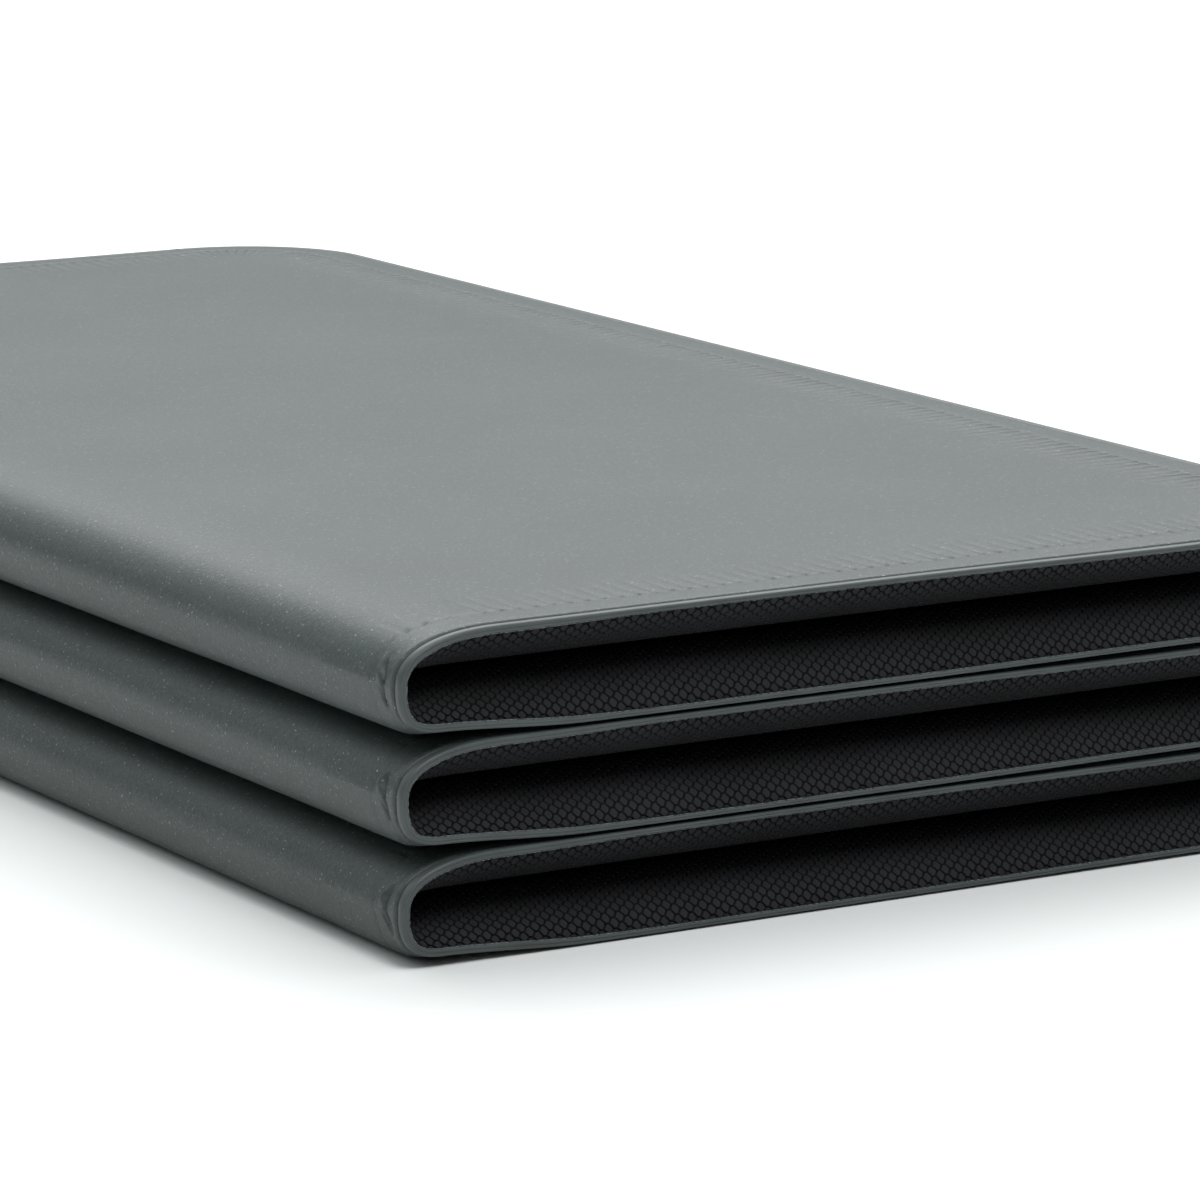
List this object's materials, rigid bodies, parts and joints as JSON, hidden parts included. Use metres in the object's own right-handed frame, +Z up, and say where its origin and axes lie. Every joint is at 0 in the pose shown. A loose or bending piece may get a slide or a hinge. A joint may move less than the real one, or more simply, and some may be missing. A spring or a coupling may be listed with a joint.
{
  "type": "folding padded slant board",
  "caption": "Padded folding board with a smooth face and a honeycomb grip face, in hinged leaves, folded flat into a stack",
  "frame": {"origin": "middle of the underside of the folded stack, on the surface that it lies on", "axes": "+Z up through the stack, +Y along the folds (the width of the opened board), +X from the three outer folds to the free ends"},
  "size_m": [0.29, 0.61, 0.0788],
  "materials": {
    "smooth_cover": "satin",
    "rim_bead": "satin",
    "grip_skin": "matte",
    "foam": "matte",
    "board": "matte"
  },
  "bodies": {
    "leaf_1": {"leaf_1_smooth_cover": "smooth_cover", "leaf_1_near_bead": "rim_bead", "leaf_1_far_bead": "rim_bead", "leaf_1_end_bead": "rim_bead", "leaf_1_grip_skin": "grip_skin", "leaf_1_comfort_foam": "foam", "leaf_1_stiffener_board": "board", "leaf_1_backing_foam": "foam", "fold_web_1_2": "smooth_cover"},
    "leaf_2": {"leaf_2_smooth_cover": "smooth_cover", "leaf_2_near_bead": "rim_bead", "leaf_2_far_bead": "rim_bead", "leaf_2_grip_skin": "grip_skin", "leaf_2_comfort_foam": "foam", "leaf_2_stiffener_board": "board", "leaf_2_backing_foam": "foam", "fold_web_2_3": "grip_skin"},
    "leaf_3": {"leaf_3_smooth_cover": "smooth_cover", "leaf_3_near_bead": "rim_bead", "leaf_3_far_bead": "rim_bead", "leaf_3_grip_skin": "grip_skin", "leaf_3_comfort_foam": "foam", "leaf_3_stiffener_board": "board", "leaf_3_backing_foam": "foam", "fold_web_3_4": "smooth_cover"},
    "leaf_4": {"leaf_4_smooth_cover": "smooth_cover", "leaf_4_near_bead": "rim_bead", "leaf_4_far_bead": "rim_bead", "leaf_4_grip_skin": "grip_skin", "leaf_4_comfort_foam": "foam", "leaf_4_stiffener_board": "board", "leaf_4_backing_foam": "foam", "fold_web_4_5": "grip_skin"},
    "leaf_5": {"leaf_5_smooth_cover": "smooth_cover", "leaf_5_near_bead": "rim_bead", "leaf_5_far_bead": "rim_bead", "leaf_5_grip_skin": "grip_skin", "leaf_5_comfort_foam": "foam", "leaf_5_stiffener_board": "board", "leaf_5_backing_foam": "foam", "fold_web_5_6": "smooth_cover"},
    "leaf_6": {"leaf_6_smooth_cover": "smooth_cover", "leaf_6_near_bead": "rim_bead", "leaf_6_far_bead": "rim_bead", "leaf_6_end_bead": "rim_bead", "leaf_6_grip_skin": "grip_skin", "leaf_6_comfort_foam": "foam", "leaf_6_stiffener_board": "board", "leaf_6_backing_foam": "foam"}
  },
  "joints": [
    {"name": "fold_1_2", "type": "hinge", "parent": "leaf_1", "child": "leaf_2", "pos_m": [-0.145, 0, 0.013], "axis": [0, -1, 0], "range_deg": [0, 180], "deforming": ["fold_web_1_2"]},
    {"name": "fold_2_3", "type": "hinge", "parent": "leaf_2", "child": "leaf_3", "pos_m": [0.145, 0, 0.0262], "axis": [0, 1, 0], "range_deg": [0, 180], "deforming": ["fold_web_2_3"]},
    {"name": "fold_3_4", "type": "hinge", "parent": "leaf_3", "child": "leaf_4", "pos_m": [-0.145, 0, 0.0394], "axis": [0, -1, 0], "range_deg": [0, 180], "deforming": ["fold_web_3_4"]},
    {"name": "fold_4_5", "type": "hinge", "parent": "leaf_4", "child": "leaf_5", "pos_m": [0.145, 0, 0.0526], "axis": [0, 1, 0], "range_deg": [0, 180], "deforming": ["fold_web_4_5"]},
    {"name": "fold_5_6", "type": "hinge", "parent": "leaf_5", "child": "leaf_6", "pos_m": [-0.145, 0, 0.0658], "axis": [0, -1, 0], "range_deg": [0, 180], "deforming": ["fold_web_5_6"]}
  ]
}
